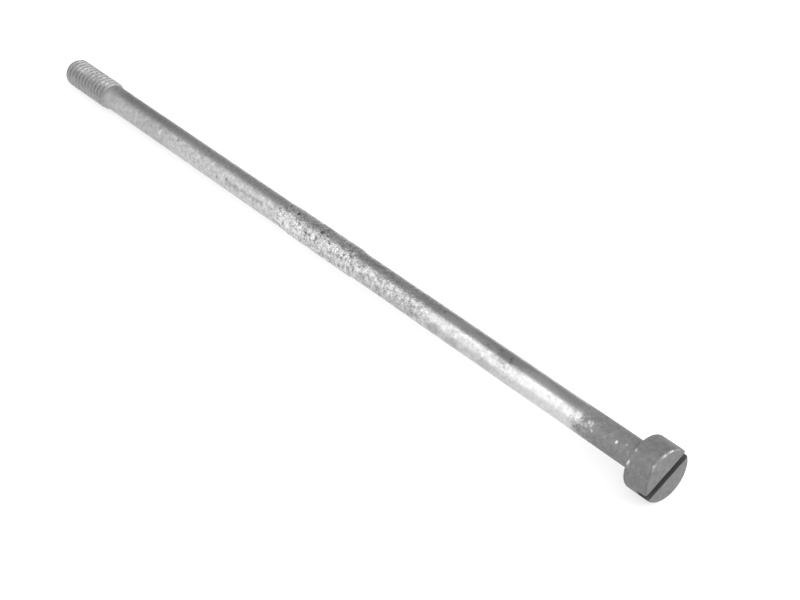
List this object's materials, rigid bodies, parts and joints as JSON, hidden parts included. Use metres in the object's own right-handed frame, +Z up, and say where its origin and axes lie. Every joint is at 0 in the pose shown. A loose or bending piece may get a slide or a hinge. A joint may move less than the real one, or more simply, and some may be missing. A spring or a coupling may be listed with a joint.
{
  "type": "slotted cylinder head screw",
  "caption": "Long steel screw with a slotted cylindrical head, a plain shank slimmer than its thread, a corroded band and a short threaded tip.",
  "frame": {"origin": "centre of the bearing face under the head, on the screw's axis", "axes": "+X from the head towards the tip, along the level surface that the screw lies on; +Z up; the screw's own axis dips 0.65 degrees towards the tip, because the head is wider than the thread"},
  "size_m": [0.1831, 0.0104, 0.0105],
  "materials": {
    "steel": "worn bare steel, dull at the head, rubbed bright along the shank"
  },
  "bodies": {
    "root": {"cylinder_head_screw": "steel"}
  },
  "joints": []
}
